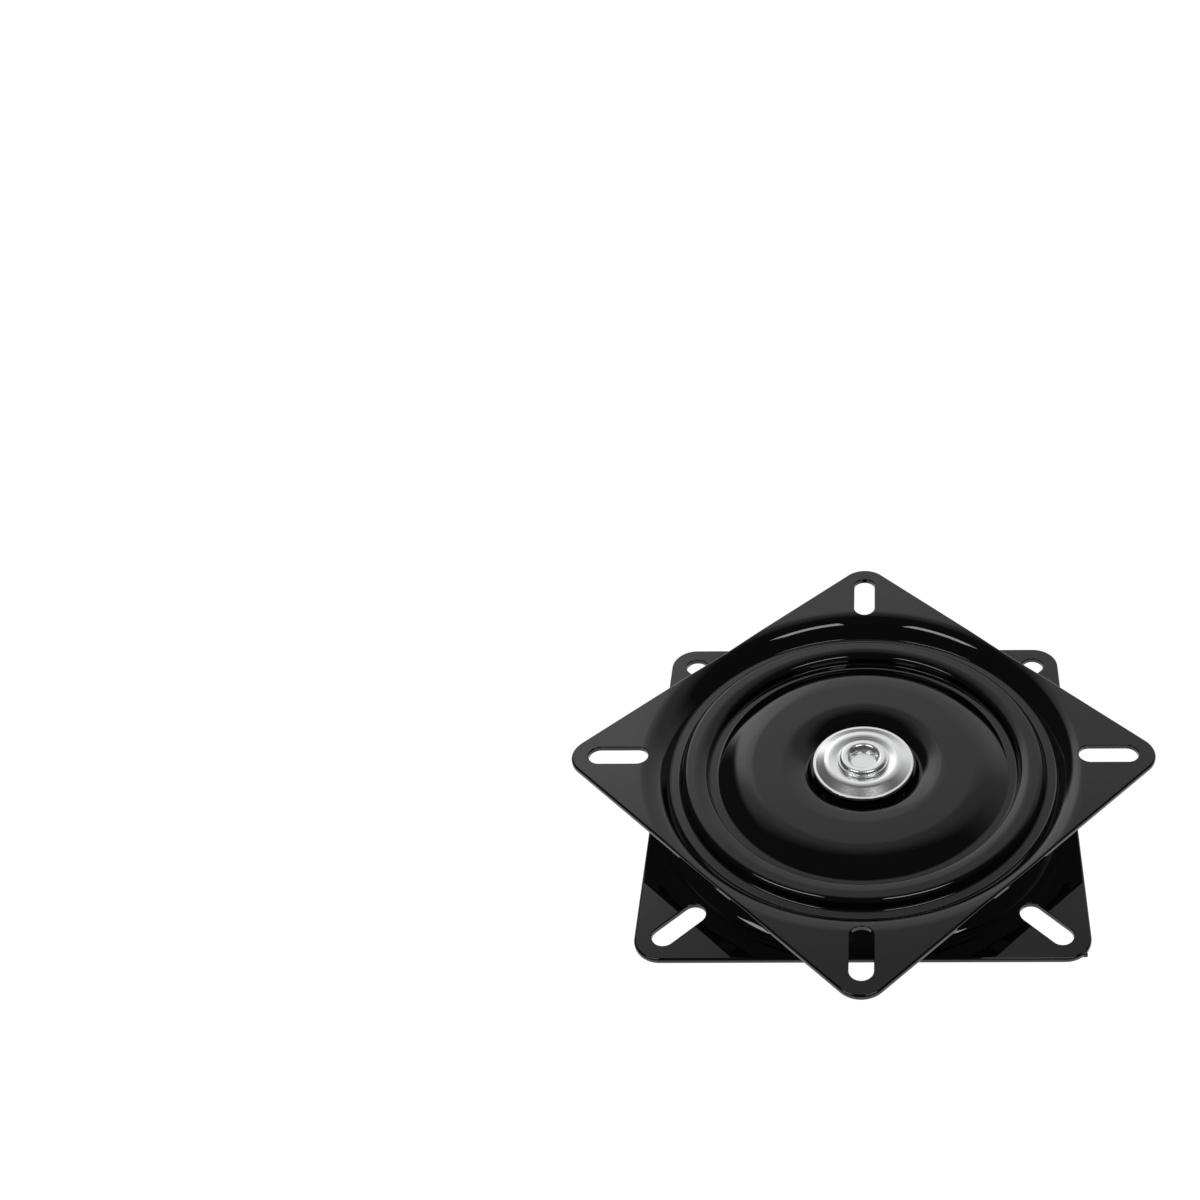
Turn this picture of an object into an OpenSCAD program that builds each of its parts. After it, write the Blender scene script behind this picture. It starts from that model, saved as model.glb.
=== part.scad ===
// Swivel seat base: two pressed plates on a ring of balls, held together by a centre rivet.
// Units are mm, +Z is up, the base plate's underside lies on Z = 0 and the axis is at X = Y = 0.
// Ring sizes chain from the plate's edge inwards and from the rivet outwards, and meet on the dome.

/* [Plates] */
// Side of both square plates
plate_side = 180; // [170:1:200]
// Sheet thickness of both plates
sheet_t = 2.3; // [1.8:0.1:2.7]
// Radius of the plate corners
corner_r = 11; // [6:0.5:16]
// Height from the underside of the base to the upper flange
overall_h = 24; // [22:0.1:28]
// Angle of the upper plate at rest
rest_turn = 45; // [0:5:90]
// Reach of the small square tip on one corner of the base plate
tip_reach = 1.3; // [0.5:0.1:2.5]
// Side of that small square tip
tip_side = 6; // [4:0.5:9]

/* [Bolt slots] */
// Distance from the end of a slot to the rounded corner
slot_margin = 7.2; // [5:0.1:9]
// Overall length of a slot
slot_len = 25; // [16:0.5:27]
// Width of a slot
slot_w = 9.4; // [7:0.2:11]

/* [Outer wall and valley of the upper plate] */
// Distance from the plate's side to the bend
bend_margin = 1.6; // [1.2:0.1:3]
// Bend radius of the flange on the top side
bend_fillet = 12; // [8:0.5:13]
// Radial run of the wall that falls from the flange
wall_run = 8.8; // [8:0.1:10]
// Width of the narrow valley
valley_w = 2; // [1.6:0.1:3]
// Bend radius at both sides of the valley
valley_fillet = 1.3; // [0.8:0.1:1.5]

/* [Race ridge of the upper plate] */
// Radial run of the wall from the valley up to the ridge
ridge_wall_run = 3.2; // [2.8:0.1:3.8]
// Rise from the valley to the ridge
ridge_rise = 4.2; // [3.8:0.1:4.8]
// Width of the level top of the ridge
ridge_w = 7.5; // [6.5:0.1:8]
// Depth of the ridge below the flange
ridge_drop = 3.5; // [3:0.1:4.2]
// Bend radius at the outer side of the ridge
ridge_fillet = 3.7; // [3:0.1:3.9]
// Radial run of the part of the ridge that leans inwards
lean_run = 3; // [2.7:0.1:3.6]
// Fall of that leaning part
lean_fall = 1.05; // [0.8:0.05:1.2]
// Bend radius between the level and the leaning part
lean_fillet = 12; // [6:1:13]
// Bend radius at the inner side of the ridge
flank_fillet = 2.4; // [2.3:0.1:2.6]
// Radial run of the inner flank from the ridge to the foot
flank_run = 2.6; // [2.4:0.1:3.4]
// Fall from the top of the ridge to the foot
foot_fall = 4.3; // [3.8:0.1:4.8]

/* [Dome and pan of the upper plate] */
// Width of the foot ring
foot_w = 1; // [0.9:0.1:2]
// Bend radius at the outer side of the foot ring
foot_fillet = 1.2; // [0.8:0.1:1.5]
// Bend radius between the foot ring and the dome
dome_foot_fillet = 1.5; // [0.8:0.1:1.8]
// Radial run of the side of the dome
dome_run = 7.6; // [7.5:0.1:10]
// Rise from the foot to the top of the dome
dome_rise = 4; // [3.4:0.1:4.6]
// Bend radius round the top of the dome
dome_fillet = 30; // [20:1:31]
// Bend radius where the dome's top turns down into the pan
crest_fillet = 27; // [16:1:28]
// Radial run of the wall from the dome's top down to the pan
pan_run = 7.6; // [7:0.1:8.6]
// Bend radius at the foot of that wall
pan_fillet = 2.4; // [1:0.1:3]
// Gap between the top washer's edge and the foot of the pan wall
pan_gap = 1; // [0.8:0.05:2]

/* [Lower plate] */
// Half width of the race between its shoulders
race_half_w = 4.9; // [4.2:0.1:5.2]
// Gap between the load ball cage and the race shoulders
race_gap = 0.6; // [0.4:0.1:0.8]
// Radius of the groove that the load balls run in
groove_fillet = 4.5; // [4:0.1:5]
// Bend radius at the race shoulders
race_fillet = 3; // [2.8:0.1:3.4]
// Distance that the floor starts inside the foot ring
floor_inset = 0.9; // [0.5:0.1:1.5]
// Gap between the floor and the foot ring above it
floor_gap = 6.7; // [6:0.1:7.5]
// Bend radius at both sides of the floor
floor_fillet = 3; // [2:0.1:4]
// Distance from the backing washer's edge to the edge of the hub
hub_margin = 13; // [10:0.5:15]
// Radial run of the wall from the floor up to the hub
hub_run = 7; // [6:0.5:9]
// Bend radius at the hub's edge
hub_fillet = 4; // [3:0.1:5]
// Gap between the hub and the pan above it
hub_gap = 1.5; // [1.2:0.1:2.2]

/* [Load balls and cage] */
// Diameter of a load ball
ball_d = 6.35; // [5.5:0.05:7]
// Number of load balls
ball_n = 24; // [8:1:30]
// Play between a ball and the sheet
ball_play = 0.05; // [0.03:0.01:0.08]
// Thickness of the load ball cage
cage_t = 1.2; // [0.8:0.1:1.4]
// Play between the load ball cage and the ridge above it
cage_gap = 0.4; // [0.3:0.05:0.8]
// Depth of the cage's top face below the ball centres
cage_below = 0.1; // [0.05:0.05:0.3]
// Play between a ball and its pocket, in both cages
pocket_play = 0.2; // [0.1:0.05:0.4]

/* [Retaining balls and cage] */
// Diameter of a retaining ball
small_ball_d = 4; // [3.4:0.1:4.6]
// Number of retaining balls
small_ball_n = 14; // [6:1:16]
// Thickness of the retaining cage
small_cage_t = 1; // [0.6:0.1:1.2]
// Width of the rim beside the pockets of the retaining cage
small_cage_rim = 0.8; // [0.6:0.1:1]
// Height of the retaining cage's top face above the ball centres
small_cage_above = 0.1; // [0.05:0.05:0.3]

/* [Rivet] */
// Radius of the rivet shank
shank_r = 7.25; // [6.5:0.05:8]
// Play between the rivet shank and the pieces on it
shank_play = 0.05; // [0.03:0.01:0.1]
// Distance that the rolled head reaches over the shank
head_over = 2; // [1.8:0.05:2.4]
// Height of the rolled head
head_h = 1.35; // [1:0.05:1.5]
// Radius of the recess in the rivet
recess_r = 5.25; // [4.6:0.05:5.6]
// Depth of the recess below the top of the rivet
recess_depth = 3; // [2.4:0.1:4]
// Height of the straight wall at the bottom of the recess
recess_wall = 1; // [0.5:0.1:1.4]
// Width of the rounded edge round the mouth of the recess
mouth_edge = 0.6; // [0.3:0.05:0.8]
// Distance that the lower head reaches over the shank
lower_head_over = 4.75; // [3:0.25:6]
// Thickness of the lower head
lower_head_t = 2.6; // [2:0.1:3]

/* [Washers and sleeve] */
// Wall of the spacer sleeve
sleeve_wall = 2.5; // [2:0.1:3]
// Gap between the sleeve and the upper plate's hub hole
hub_play = 0.8; // [0.5:0.05:0.9]
// Distance from the sleeve to the crown of the top washer
crown_out = 5.2; // [4.8:0.1:6]
// Depth of the crown below the flange
crown_drop = 2.3; // [2:0.1:2.8]
// Bend radius of the crown
crown_fillet = 4; // [3:0.1:4.5]
// Radial run of the skirt from the crown to the washer's edge
skirt_run = 6.3; // [6:0.05:8]
// Sheet thickness of the top washer
washer_t = 1.6; // [1.2:0.1:1.8]
// Fall from the crown to the lip
lip_drop = 2.3; // [1.8:0.1:2.5]
// Width of the flat lip at the washer's edge
lip_w = 1.2; // [0.8:0.1:1.8]
// Bend radius where the skirt meets the lip
lip_fillet = 0.6; // [0.3:0.1:1]
// Depth of the seat round the rivet below the crown
seat_drop = 0.9; // [0.5:0.1:1.2]
// Gap between the collar washer and the edge of that seat
seat_gap = 0.5; // [0.3:0.05:0.8]
// Bend radius at the edge of the seat
seat_fillet = 1; // [0.5:0.1:1.5]
// Distance that the collar washer reaches past the rolled head
collar_edge = 1.55; // [1:0.05:1.8]
// Thickness of the collar washer
collar_t = 0.9; // [0.6:0.1:1.1]
// Distance that the backing washer reaches past the lower head
backing_edge = 4; // [2:0.25:6]
// Thickness of the backing washer
backing_t = 1.8; // [1.2:0.1:2.2]

/* [Hidden] */
$fn = 96;
// Largest step along a bend, in degrees
bend_step = 6;

// Radii from the plate's edge inwards
corner_reach = (plate_side / 2 - corner_r) * sqrt(2) + corner_r;
slot_centre_r = corner_reach - slot_margin - slot_len / 2;
bend_r = plate_side / 2 - bend_margin;
valley_out_r = bend_r - wall_run;
valley_in_r = valley_out_r - valley_w;
ridge_out_r = valley_in_r - ridge_wall_run;
lean_r = ridge_out_r - ridge_w;
ridge_in_r = lean_r - lean_run;
foot_out_r = ridge_in_r - flank_run;
foot_in_r = foot_out_r - foot_w;
shoulder_r = foot_in_r - dome_run;
floor_out_r = foot_out_r - floor_inset;

// Radii from the rivet outwards
on_shank_r = shank_r + shank_play;
sleeve_r = on_shank_r + sleeve_wall;
hub_hole_r = sleeve_r + hub_play;
head_r = shank_r + head_over;
collar_r = head_r + collar_edge;
seat_r = collar_r + seat_gap;
crown_r = sleeve_r + crown_out;
washer_r = crown_r + skirt_run;
pan_r = washer_r + pan_gap;
crest_r = pan_r + pan_run;
lower_head_r = shank_r + lower_head_over;
backing_r = lower_head_r + backing_edge;
hub_r = backing_r + hub_margin;
floor_in_r = hub_r + hub_run;
mouth_r = head_r - head_h - mouth_edge;

// Heights from the flange downwards to the crown
ridge_z = overall_h - ridge_drop;
valley_z = ridge_z - ridge_rise;
foot_z = ridge_z - foot_fall;
ridge_in_z = ridge_z - lean_fall;
dome_z = foot_z + dome_rise;
crown_z = overall_h - crown_drop;
seat_z = crown_z - seat_drop;
lip_z = crown_z - lip_drop;

function unit(v) = v / norm(v);
function left_of(u) = [-u[1], u[0]];
function turn_of(u, v) = atan2(u[0] * v[1] - u[1] * v[0], u[0] * v[0] + u[1] * v[1]);

// The retaining balls lie in the bend under the crown of the top washer
crown_at = [crown_r, crown_z];
crown_from = unit(crown_at - [washer_r - lip_w, lip_z]);
crown_to = unit([seat_r, seat_z] - crown_at);
crown_half = turn_of(crown_from, crown_to) / 2;
small_reach = washer_t + ball_play + small_ball_d / 2;
in_bend = crown_fillet / cos(crown_half) - crown_fillet + small_reach;
crown_below = max(in_bend, small_reach / cos(crown_half));
small_ball_at = crown_at + unit(crown_to - crown_from) * crown_below;
small_ball_r = small_ball_at[0];
small_ball_z = small_ball_at[1];

// Heights from the retaining balls downwards
sleeve_top_z = seat_z - washer_t;
collar_top_z = seat_z + collar_t;
rivet_top_z = collar_top_z + head_h;
pan_z = small_ball_z - small_ball_d / 2 - ball_play;
hub_z = pan_z - sheet_t - hub_gap;
floor_z = foot_z - sheet_t - floor_gap;
backing_z = hub_z - sheet_t - backing_t;
rivet_foot_z = backing_z - lower_head_t;

// The load balls run against the top of the ridge and its outer wall
ball_z = ridge_z - sheet_t - ball_play - ball_d / 2;
outer_n = left_of(unit([ridge_out_r - valley_in_r, ridge_rise]));
ball_reach = sheet_t + ball_play + ball_d / 2;
ball_r = valley_in_r + (ball_reach - (ball_z - valley_z) * outer_n[1]) / outer_n[0];

// The cage fills the room between the outer wall and the inner flank, less its play
inner_n = left_of(unit([foot_out_r - ridge_in_r, foot_z - ridge_in_z]));
cage_top_z = ball_z - cage_below;
cage_reach = sheet_t + cage_gap;
cage_out_r = valley_in_r + (cage_reach - (cage_top_z - valley_z) * outer_n[1]) / outer_n[0];
cage_in_r = foot_out_r + (cage_reach - (cage_top_z - foot_z) * inner_n[1]) / inner_n[0];

// The race shoulders stay under the cage, and the groove's lowest point lies just under the balls
race_z = cage_top_z - cage_t - race_gap;
groove_bottom_z = ball_z - ball_d / 2 - ball_play;
// Height of the groove's sharp corner that puts its rounded bottom at that point, found by halving
function groove_low(a) = race_z - race_half_w * tan(a) + groove_fillet * (1 / cos(a) - 1);
function solve_a(lo, hi, n) = n == 0 ? (lo + hi) / 2
    : groove_low((lo + hi) / 2) > groove_bottom_z ? solve_a((lo + hi) / 2, hi, n - 1)
    : solve_a(lo, (lo + hi) / 2, n - 1);
groove_corner_z = race_z - race_half_w * tan(solve_a(1, 45, 30));

// Profiles run inwards along the upper face: radius, height, bend radius on the upper face
far_r = plate_side;
upper_profile = [
    [far_r, overall_h, 0],
    [bend_r, overall_h, bend_fillet],
    [valley_out_r, valley_z, valley_fillet],
    [valley_in_r, valley_z, valley_fillet],
    [ridge_out_r, ridge_z, ridge_fillet],
    [lean_r, ridge_z, lean_fillet],
    [ridge_in_r, ridge_in_z, flank_fillet],
    [foot_out_r, foot_z, foot_fillet],
    [foot_in_r, foot_z, dome_foot_fillet],
    [shoulder_r, dome_z, dome_fillet],
    [crest_r, dome_z, crest_fillet],
    [pan_r, pan_z, pan_fillet],
    [hub_hole_r, pan_z, 0]
];
lower_profile = [
    [far_r, sheet_t, 0],
    [bend_r, sheet_t, bend_fillet - sheet_t],
    [ball_r + race_half_w, race_z, race_fillet],
    [ball_r, groove_corner_z, groove_fillet],
    [ball_r - race_half_w, race_z, race_fillet],
    [floor_out_r, floor_z, floor_fillet],
    [floor_in_r, floor_z, floor_fillet],
    [hub_r, hub_z, hub_fillet],
    [on_shank_r, hub_z, 0]
];
washer_profile = [
    [washer_r, lip_z, 0],
    [washer_r - lip_w, lip_z, lip_fillet],
    [crown_r, crown_z, crown_fillet],
    [seat_r, seat_z, seat_fillet],
    [on_shank_r, seat_z, 0]
];

function at(p, i) = [p[i][0], p[i][1]];
function dir_in(p, i) = unit(at(p, i) - at(p, i - 1));
function dir_out(p, i) = unit(at(p, i + 1) - at(p, i));
function bend_at(p, i) = turn_of(dir_in(p, i), dir_out(p, i));
function tangent_at(p, i) = p[i][2] * tan(abs(bend_at(p, i)) / 2);
function spin(v, a) = [v[0] * cos(a) - v[1] * sin(a), v[0] * sin(a) + v[1] * cos(a)];

// Points of one bend, a distance below the upper face
function bend_points(p, i, below) =
    let (d = dir_in(p, i), turn = bend_at(p, i), side = turn > 0 ? 1 : -1,
        c = at(p, i) - d * tangent_at(p, i) + left_of(d) * p[i][2] * side,
        r = p[i][2] - side * below, n = max(2, ceil(abs(turn) / bend_step)))
    [for (k = [0 : n]) c + spin(left_of(d) * -side, turn * k / n) * r];

// Points of one whole face of a sheet, a distance below the upper face
function face_points(p, below) = let (last = len(p) - 1) concat(
    [at(p, 0) + left_of(dir_out(p, 0)) * below],
    [for (i = [1 : last - 1], v = bend_points(p, i, below)) v],
    [at(p, last) + left_of(dir_in(p, last)) * below]);
function backwards(v) = [for (i = [len(v) - 1 : -1 : 0]) v[i]];

// Section of a sheet of even thickness below the line of a profile
module sheet_section(p, t) polygon(concat(face_points(p, 0), backwards(face_points(p, t))));

module tube(r_in, r_out, z, h) translate([0, 0, z]) difference() {
    cylinder(r = r_out, h = h);
    translate([0, 0, -h]) cylinder(r = r_in, h = 3 * h);
}

// The square with rounded corners that both plates are cut to
module outline() {
    flat = plate_side / 2 - corner_r;
    linear_extrude(2 * overall_h) union() {
        square([plate_side, 2 * flat], center = true);
        square([2 * flat, plate_side], center = true);
        for (x = [-flat, flat], y = [-flat, flat]) translate([x, y]) circle(r = corner_r);
    }
}

// The small square tip that the base plate has on one corner
module tip() {
    edge = plate_side / 2 - corner_r + (corner_r + tip_reach) / sqrt(2);
    translate([edge - tip_side, -edge, 0]) cube([tip_side, tip_side, 2 * overall_h]);
}

module slots() {
    half = slot_len / 2 - slot_w / 2;
    for (a = [45 : 90 : 315]) rotate(a) translate([slot_centre_r, 0, -overall_h]) {
        for (x = [-half, half]) translate([x, 0, 0]) cylinder(d = slot_w, h = 3 * overall_h);
        translate([-half, -slot_w / 2, 0]) cube([2 * half, slot_w, 3 * overall_h]);
    }
}

module upper_plate() color("#1b1b1f") rotate(rest_turn) difference() {
    intersection() {
        rotate_extrude() sheet_section(upper_profile, sheet_t);
        outline();
    }
    slots();
}

module lower_plate() color("#1b1b1f") difference() {
    intersection() {
        rotate_extrude() sheet_section(lower_profile, sheet_t);
        union() {
            outline();
            tip();
        }
    }
    slots();
}

module ball_ring(n, r, z, d) {
    for (i = [0 : n - 1]) rotate((i + 0.5) * 360 / n) translate([r, 0, z]) sphere(d = d);
}

module cage(n, r, r_in, r_out, top_z, t, pocket_d) difference() {
    tube(r_in, r_out, top_z - t, t);
    for (i = [0 : n - 1]) rotate((i + 0.5) * 360 / n) translate([r, 0, top_z - 2 * t])
        cylinder(d = pocket_d, h = 3 * t);
}

module main_balls() color("#b9bcc0") ball_ring(ball_n, ball_r, ball_z, ball_d);

module main_cage() color("#d8d2bd")
    cage(ball_n, ball_r, cage_in_r, cage_out_r, cage_top_z, cage_t, ball_d + 2 * pocket_play);

module retaining_balls() color("#b9bcc0")
    ball_ring(small_ball_n, small_ball_r, small_ball_z, small_ball_d);

module retaining_cage() color("#d8d2bd") {
    pocket_d = small_ball_d + 2 * pocket_play;
    half_w = pocket_d / 2 + small_cage_rim;
    cage(small_ball_n, small_ball_r, small_ball_r - half_w, small_ball_r + half_w,
        small_ball_z + small_cage_above, small_cage_t, pocket_d);
}

module top_washer() color("#c9ccd0") rotate_extrude() sheet_section(washer_profile, washer_t);

module collar_washer() color("#c4c7cb") tube(on_shank_r, collar_r, seat_z, collar_t);

module spacer_sleeve() color("#9da1a6") tube(on_shank_r, sleeve_r, hub_z, sleeve_top_z - hub_z);

module backing_washer() color("#9da1a6") tube(on_shank_r, backing_r, backing_z, backing_t);

// The rolled head is a full round at its edge and falls away to the recess inside
module rivet() color("#cfd2d5") rotate_extrude() difference() {
    union() {
        translate([0, rivet_foot_z]) square([lower_head_r, lower_head_t]);
        translate([0, rivet_foot_z]) square([shank_r, collar_top_z - rivet_foot_z + head_h / 2]);
        translate([0, collar_top_z]) square([head_r - head_h, head_h]);
        intersection() {
            translate([head_r - head_h, collar_top_z]) circle(r = head_h);
            translate([0, collar_top_z]) square([head_r, head_h]);
        }
    }
    polygon([
        [0, rivet_top_z - recess_depth], [recess_r, rivet_top_z - recess_depth],
        [recess_r, rivet_top_z - recess_depth + recess_wall], [mouth_r, rivet_top_z],
        [mouth_r, rivet_top_z + head_h], [0, rivet_top_z + head_h]
    ]);
}

lower_plate();
upper_plate();
main_balls();
main_cage();
retaining_balls();
retaining_cage();
top_washer();
collar_washer();
spacer_sleeve();
backing_washer();
rivet();
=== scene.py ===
import math

import bpy
from bpy.props import FloatProperty, FloatVectorProperty, IntProperty, PointerProperty
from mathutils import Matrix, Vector
from mathutils.geometry import delaunay_2d_cdt


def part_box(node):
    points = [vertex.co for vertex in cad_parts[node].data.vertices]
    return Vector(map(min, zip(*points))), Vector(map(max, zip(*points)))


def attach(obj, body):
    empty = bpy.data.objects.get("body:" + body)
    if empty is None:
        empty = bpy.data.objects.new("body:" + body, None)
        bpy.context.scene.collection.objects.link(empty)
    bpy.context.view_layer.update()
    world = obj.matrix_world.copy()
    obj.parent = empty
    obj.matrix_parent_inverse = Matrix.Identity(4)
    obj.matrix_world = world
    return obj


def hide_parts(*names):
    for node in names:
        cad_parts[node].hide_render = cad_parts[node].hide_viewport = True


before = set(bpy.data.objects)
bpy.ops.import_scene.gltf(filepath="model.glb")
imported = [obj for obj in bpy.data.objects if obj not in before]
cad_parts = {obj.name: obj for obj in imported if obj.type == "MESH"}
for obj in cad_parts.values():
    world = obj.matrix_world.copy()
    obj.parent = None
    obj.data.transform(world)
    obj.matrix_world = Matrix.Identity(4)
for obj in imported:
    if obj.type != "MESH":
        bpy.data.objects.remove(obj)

bl_info = {
    "name": "Swivel Seat Base",
    "version": (1, 0, 0),
    "blender": (4, 5, 0),
    "location": "View3D > Sidebar > Seat Base",
    "description": "Pressed plates, rivet, washers and balls of a swivel seat base, with its stage",
    "category": "Object",
}

MM = 0.001
QUARTER = math.pi / 2
ROUND = 2 * math.pi

# Steps of the meshes, and how close counts as the same
BEND_STEP = math.radians(4)
EDGE_STEPS = 6
ARC_STEPS = 24
SIDE_STEPS = 48
HALVINGS = 40
STRAIGHT = 1e-6
SAME_PLACE = 1e-7
ON_CHORD = 0.995


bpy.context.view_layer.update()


def span(node, axis):
    """Lowest and highest coordinate of a CAD node along X (0), Y (1) or Z (2)."""
    low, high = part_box(node)
    return low[axis], high[axis]


def length(name, mm, description):
    """A length whose default is given in millimetres."""
    return FloatProperty(
        name=name, description=description, default=mm * MM, min=0, precision=5, unit="LENGTH"
    )


def colour(name, rgb, description):
    """A colour in linear red, green and blue."""
    return FloatVectorProperty(
        name=name, description=description, default=rgb, size=3, min=0, max=1, subtype="COLOR"
    )


def share(name, value, description):
    """A plain number, such as a roughness or a strength."""
    return FloatProperty(name=name, description=description, default=value, min=0)


class PlateSizes(bpy.types.PropertyGroup):
    """Sizes that both pressed plates share, and the upper plate's rings from its edge inwards."""

    side: length("Side", 180, "Side of both square plates")
    sheet: length("Sheet", 2.3, "Thickness of the pressed sheet")
    corner: length("Corner radius", 11, "Radius of the plate corners")
    tip_reach: length("Tip reach", 1.3, "Reach of the small square tip on one base corner")
    slot_margin: length("Slot margin", 7.2, "Distance from a slot's end to the rounded corner")
    slot_length: length("Slot length", 25, "Overall length of a bolt slot")
    slot_width: length("Slot width", 9.4, "Width of a bolt slot")
    edge_roll: length("Edge roll", 1.0, "Radius of the plates' upper edges")
    slot_roll: length("Slot roll", 0.5, "Radius of the slots' upper edges")
    under_roll: length("Under roll", 0.35, "Radius of all lower edges")
    bend_margin: length("Bend margin", 2.1, "Distance from the plate's side to the flange bend")
    bend: length("Flange bend", 10.3, "Bend radius of the upper flange")
    wall_run: length("Wall run", 6.4, "Radial run of the wall below the flange")
    valley_width: length("Valley width", 4.1, "Width of the narrow valley")
    valley_bend: length("Valley bend", 1.3, "Bend radius of the valley")
    ridge_wall_run: length("Ridge wall run", 2.05, "Radial run of the wall up to the ridge")
    ridge_rise: length("Ridge rise", 4.2, "Rise from the valley to the ridge")
    ridge_width: length("Ridge width", 6.3, "Width of the ridge's level top")
    ridge_drop: length("Ridge drop", 3.5, "Depth of the ridge below the flange")
    ridge_bend: length("Ridge bend", 2.5, "Bend radius at the ridge's outer side")
    lean_run: length("Lean run", 3.1, "Radial run of the ridge's leaning part")
    lean_fall: length("Lean fall", 1.35, "Fall of the ridge's leaning part")
    lean_bend: length("Lean bend", 9.7, "Bend radius between the level and the leaning part")
    flank_bend: length("Flank bend", 2.35, "Bend radius at the ridge's inner side")
    flank_run: length("Flank run", 0.8, "Radial run of the ridge's inner flank")
    foot_fall: length("Foot fall", 4.8, "Fall from the ridge's top to the foot")
    foot_width: length("Foot width", 3.6, "Width of the foot ring")
    foot_bend: length("Foot bend", 0.9, "Bend radius at the foot ring's outer side")
    dome_foot_bend: length("Dome foot bend", 2.2, "Bend radius between foot ring and dome")
    dome_run: length("Dome run", 10.4, "Radial run of the dome's side")
    dome_rise: length("Dome rise", 4.6, "Rise from the foot to the top of the dome")
    dome_bend: length("Dome bend", 24.5, "Bend radius round the dome's top")
    crest_bend: length("Crest bend", 19.5, "Bend radius where the dome's top turns down")
    pan_run: length("Pan run", 7.6, "Radial run of the wall down to the pan")
    pan_bend: length("Pan bend", 2.3, "Bend radius at the pan")
    pan_gap: length("Pan gap", 1, "Gap between the top washer and the pan wall")
    hub_play: length("Hub play", 0.8, "Gap between the sleeve and the upper plate")


class BaseSizes(bpy.types.PropertyGroup):
    """Sizes of the lower plate's race, floor and hub."""

    bend_margin: length("Bend margin", 3.4, "Distance from the plate's side to the flange bend")
    bend: length("Flange bend", 10, "Bend radius of the lower flange")
    race_half: length("Race half width", 4.9, "Half width of the ball race")
    race_gap: length("Race gap", 0.6, "Gap between the ball cage and the race shoulders")
    groove: length("Groove radius", 4.5, "Radius of the groove under the balls")
    race_bend: length("Race bend", 3, "Bend radius of the race shoulders")
    cage_rim: length("Cage rim", 1.1, "Inner rim of the ball cage beside the balls")
    pocket_play: length("Pocket play", 0.2, "Play of a ball in its pocket")
    floor_inset: length("Floor inset", 4.75, "Distance that the floor starts inside the foot ring")
    floor_gap: length("Floor gap", 6.2, "Gap between the floor and the foot ring above")
    floor_bend: length("Floor bend", 3, "Bend radius of the floor")
    hub_margin: length("Hub margin", 13, "Distance from the backing washer to the hub's edge")
    hub_run: length("Hub run", 7, "Radial run of the wall up to the hub")
    hub_bend: length("Hub bend", 4, "Bend radius of the hub's edge")


class CentreSizes(bpy.types.PropertyGroup):
    """Sizes of the rivet and the washers on it."""

    ball_play: length("Ball play", 0.05, "Play between a ball and the sheet")
    washer_sheet: length("Washer sheet", 1.6, "Sheet thickness of the dished washer")
    lip_width: length("Lip width", 1.2, "Width of the washer's flat lip")
    lip_drop: length("Lip drop", 2.4, "Fall from the crown to the lip")
    lip_bend: length("Lip bend", 0.6, "Bend radius at the lip")
    crown_out: length("Crown out", 5.2, "Distance from the sleeve to the crown")
    crown_rise: length("Crown rise", 1, "Height of the crown above the rivet's seat")
    crown_bend: length("Crown bend", 5.5, "Bend radius of the crown")
    seat_gap: length("Seat gap", 0.5, "Gap between the collar and the edge of its seat")
    seat_bend: length("Seat bend", 1, "Bend radius at the edge of the seat")
    rim_roll: length("Rim roll", 0.35, "Radius of the washers' edges")
    recess: length("Recess radius", 5.25, "Radius of the rivet's recess")
    mouth_run: length("Mouth run", 1.6, "Radial run of the recess's sloping wall")
    recess_depth: length("Recess depth", 3, "Depth of the rivet's recess")
    recess_wall: length("Recess wall", 1, "Height of the recess's straight wall")
    head_roll: length("Head roll", 1.3, "Radius of the rolled head's outer edge")
    mouth_roll: length("Mouth roll", 1.7, "Radius of the rolled head's inner edge")
    head_spread: length("Head spread", 0.7, "Distance that the head is rolled out further")
    head_over: length("Head over", 2, "Distance that the rolled head reaches over the shank")
    lower_head: length("Lower head", 2.6, "Thickness of the lower head")
    lower_roll: length("Lower head roll", 0.8, "Radius of the lower head's edge")


class Finishes(bpy.types.PropertyGroup):
    """Colours and finishes of the materials."""

    paint: colour("Paint", (0.003, 0.003, 0.0033), "Black paint of both plates")
    paint_rough: share("Paint roughness", 0.03, "Roughness of the paint")
    peel: share("Orange peel", 0.015, "Strength of the fine waves in the paint")
    zinc: colour("Zinc", (0.88, 0.885, 0.89), "Plating of the washers and the rivet")
    zinc_rough: share("Zinc roughness", 0.25, "Roughness of the plating")
    line_rough: share("Line roughness", 0.1, "Spread of the plating's roughness over its lines")
    ball: colour("Ball steel", (0.62, 0.63, 0.65), "Steel of the balls")
    ball_rough: share("Ball roughness", 0.08, "Roughness of the balls")
    steel: colour("Plain steel", (0.42, 0.43, 0.45), "Steel of the sleeve")
    steel_rough: share("Steel roughness", 0.38, "Roughness of the sleeve")
    nylon: colour("Nylon", (0.62, 0.58, 0.47), "Plastic of the ball cages")
    nylon_rough: share("Nylon roughness", 0.45, "Roughness of the ball cages")


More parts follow.
